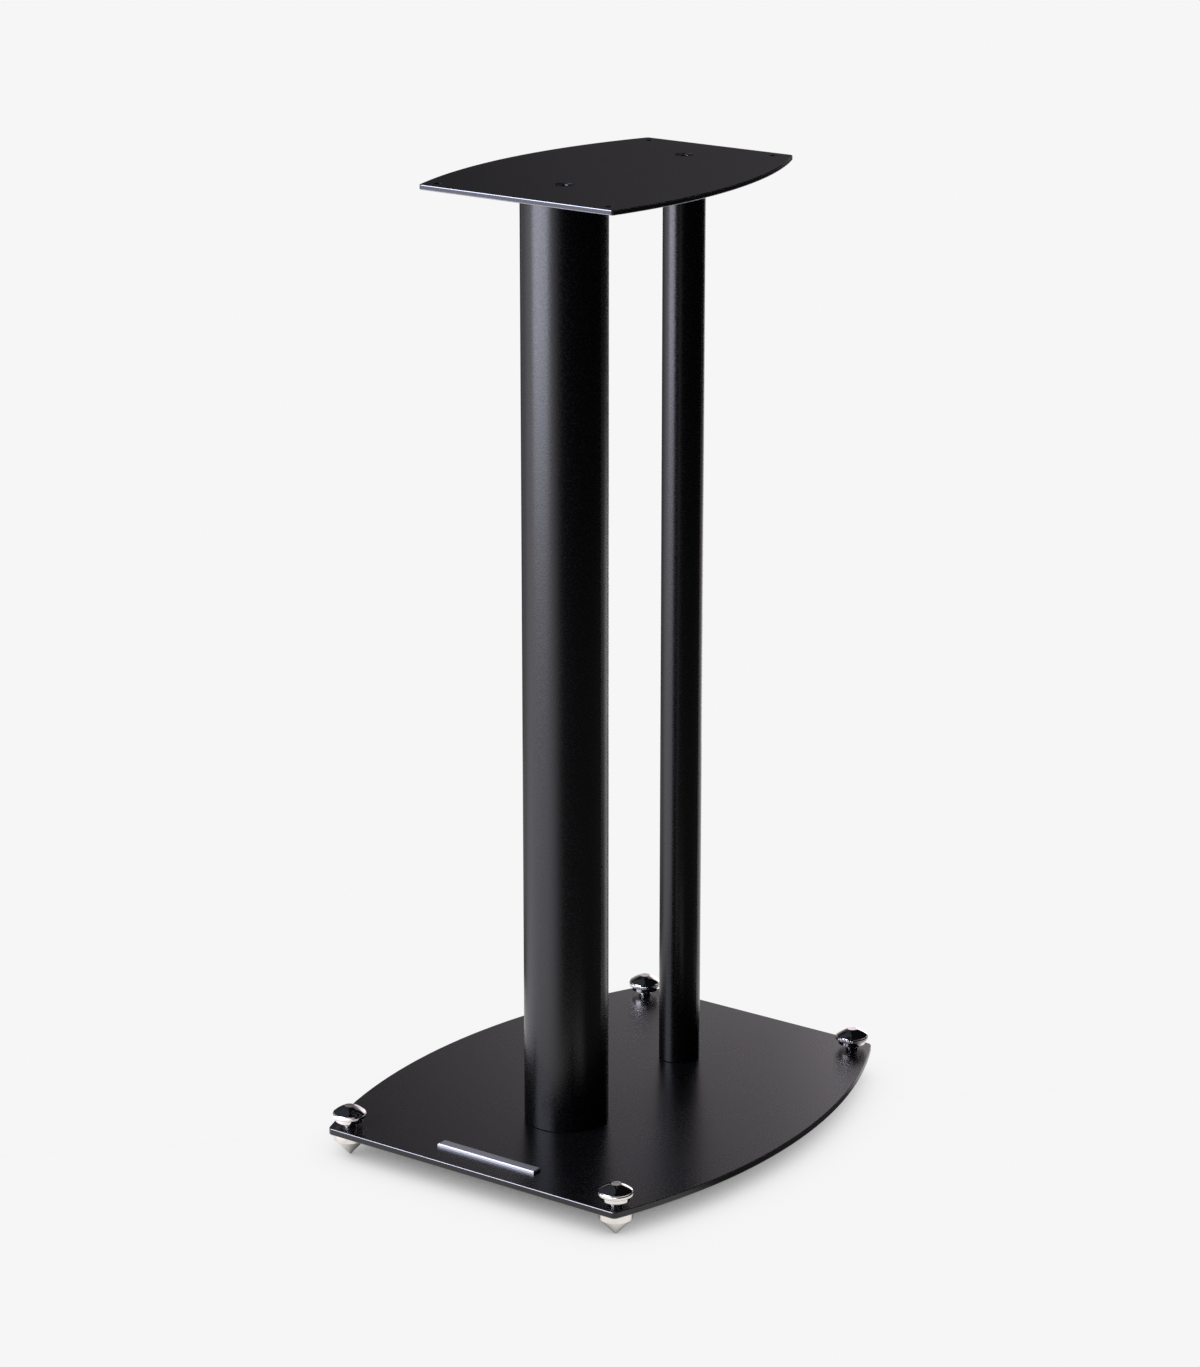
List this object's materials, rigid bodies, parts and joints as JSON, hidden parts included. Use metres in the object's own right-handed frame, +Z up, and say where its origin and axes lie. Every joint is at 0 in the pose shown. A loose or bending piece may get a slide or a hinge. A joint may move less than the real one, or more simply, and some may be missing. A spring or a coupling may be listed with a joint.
{
  "type": "speaker stand",
  "caption": "Low steel floor stand for a small loudspeaker: bowed top and base plates on a thick front and a thin rear tube, with screw-adjustable spiked feet.",
  "frame": {"origin": "centre of the footprint on the floor", "axes": "+Z up, -Y towards the front edge, +X to the right of someone looking at the front edge"},
  "size_m": [0.2552, 0.3, 0.5783],
  "materials": {
    "plate_coat": "smooth satin black powder coat",
    "column_coat": "fine-textured satin black powder coat",
    "bright_plating": "polished nickel plating",
    "stud_zinc": "bright zinc plating on a rolled thread",
    "screw_black": "black zinc plating",
    "plug_steel": "plain turned steel, lightly oiled",
    "badge_metal": "fine brushed satin nickel"
  },
  "bodies": {
    "stand": {"base_plate": "plate_coat", "top_plate": "plate_coat", "front_column": "column_coat", "rear_column": "column_coat", "front_column_bottom_plug": "plug_steel", "front_column_top_plug": "plug_steel", "rear_column_bottom_plug": "plug_steel", "rear_column_top_plug": "plug_steel", "base_screws": "screw_black", "top_screws": "screw_black", "badge": "badge_metal"},
    "foot_front_left": {"spike_front_left": "bright_plating", "stud_front_left": "stud_zinc"},
    "knob_front_left": {"knob_front_left": "bright_plating"},
    "foot_front_right": {"spike_front_right": "bright_plating", "stud_front_right": "stud_zinc"},
    "knob_front_right": {"knob_front_right": "bright_plating"},
    "foot_rear_left": {"spike_rear_left": "bright_plating", "stud_rear_left": "stud_zinc"},
    "knob_rear_left": {"knob_rear_left": "bright_plating"},
    "foot_rear_right": {"spike_rear_right": "bright_plating", "stud_rear_right": "stud_zinc"},
    "knob_rear_right": {"knob_rear_right": "bright_plating"}
  },
  "joints": [
    {"name": "foot_front_left_travel", "type": "slide", "parent": "stand", "child": "foot_front_left", "axis": [0, 0, -1], "range_m": [0, 0.0028]},
    {"name": "knob_front_left_turn", "type": "hinge", "parent": "foot_front_left", "child": "knob_front_left", "pos_m": [-0.0969, -0.1386, 0.0212], "axis": [0, 0, -1], "range_deg": [0, 806.5]},
    {"name": "foot_front_right_travel", "type": "slide", "parent": "stand", "child": "foot_front_right", "axis": [0, 0, -1], "range_m": [0, 0.0028]},
    {"name": "knob_front_right_turn", "type": "hinge", "parent": "foot_front_right", "child": "knob_front_right", "pos_m": [0.0969, -0.1386, 0.0212], "axis": [0, 0, -1], "range_deg": [0, 806.5]},
    {"name": "foot_rear_left_travel", "type": "slide", "parent": "stand", "child": "foot_rear_left", "axis": [0, 0, -1], "range_m": [0, 0.0028]},
    {"name": "knob_rear_left_turn", "type": "hinge", "parent": "foot_rear_left", "child": "knob_rear_left", "pos_m": [-0.0784, 0.1386, 0.0212], "axis": [0, 0, -1], "range_deg": [0, 806.5]},
    {"name": "foot_rear_right_travel", "type": "slide", "parent": "stand", "child": "foot_rear_right", "axis": [0, 0, -1], "range_m": [0, 0.0028]},
    {"name": "knob_rear_right_turn", "type": "hinge", "parent": "foot_rear_right", "child": "knob_rear_right", "pos_m": [0.0784, 0.1386, 0.0212], "axis": [0, 0, -1], "range_deg": [0, 806.5]}
  ],
  "couplings": [
    {"joint": "knob_front_left_turn", "follows": "foot_front_left_travel", "rad_per_m": 5026.5},
    {"joint": "knob_front_right_turn", "follows": "foot_front_right_travel", "rad_per_m": 5026.5},
    {"joint": "knob_rear_left_turn", "follows": "foot_rear_left_travel", "rad_per_m": 5026.5},
    {"joint": "knob_rear_right_turn", "follows": "foot_rear_right_travel", "rad_per_m": 5026.5}
  ]
}
